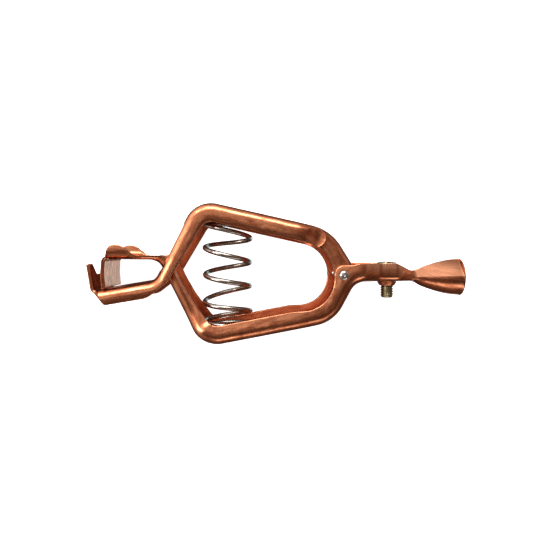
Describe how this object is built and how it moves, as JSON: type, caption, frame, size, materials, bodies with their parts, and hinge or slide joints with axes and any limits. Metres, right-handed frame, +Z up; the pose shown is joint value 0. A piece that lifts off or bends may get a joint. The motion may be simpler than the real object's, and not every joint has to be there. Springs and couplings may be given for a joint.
{
  "type": "welding ground clamp",
  "caption": "Squeeze-to-open sheet-copper clamp for a welder's return cable, with crossed channel arms, a coil spring, a toothed jaw, a terminal screw and a rolled cable funnel.",
  "frame": {"origin": "under the middle of the clamp's box, on the surface that the clamp lies on", "axes": "the clamp lies on its side: +X along it from the jaws to the cable funnel, +Y from the lower grip to the upper grip, +Z up through the depth of the arms"},
  "size_m": [0.1828, 0.0684, 0.032],
  "materials": {
    "copper": "bright drawn sheet copper, lightly tarnished",
    "spring_steel": "drawn spring wire",
    "rivet_steel": "bright nickel plate",
    "zinc_plated_steel": "yellow passivated zinc plate"
  },
  "bodies": {
    "lower_arm": {"lower_arm": "copper", "spring": "spring_steel", "pivot_rivet_front": "rivet_steel", "pivot_rivet_back": "rivet_steel"},
    "upper_arm": {"upper_arm": "copper"},
    "terminal_washers": {"flat_washer": "zinc_plated_steel", "lock_washer": "zinc_plated_steel"},
    "terminal_screw": {"terminal_screw": "zinc_plated_steel"}
  },
  "joints": [
    {"name": "jaw_opening", "type": "hinge", "parent": "lower_arm", "child": "upper_arm", "pos_m": [0.03124, -0.00063, 0.016], "axis": [0, 0, 1], "range_deg": [0, 14], "stiffness_Nm_per_rad": 10.4, "springref_deg": -13.18, "deforming": ["spring"]},
    {"name": "terminal_lift", "type": "slide", "parent": "lower_arm", "child": "terminal_washers", "axis": [0, 1, 0], "range_m": [0, 0.00381]},
    {"name": "terminal_turn", "type": "hinge", "parent": "terminal_washers", "child": "terminal_screw", "pos_m": [0.05504, -0.00063, 0.016], "axis": [0, 1, 0], "range_deg": [0, 1080]}
  ],
  "couplings": [
    {"joint": "terminal_turn", "follows": "terminal_lift", "rad_per_m": 4947.3}
  ]
}
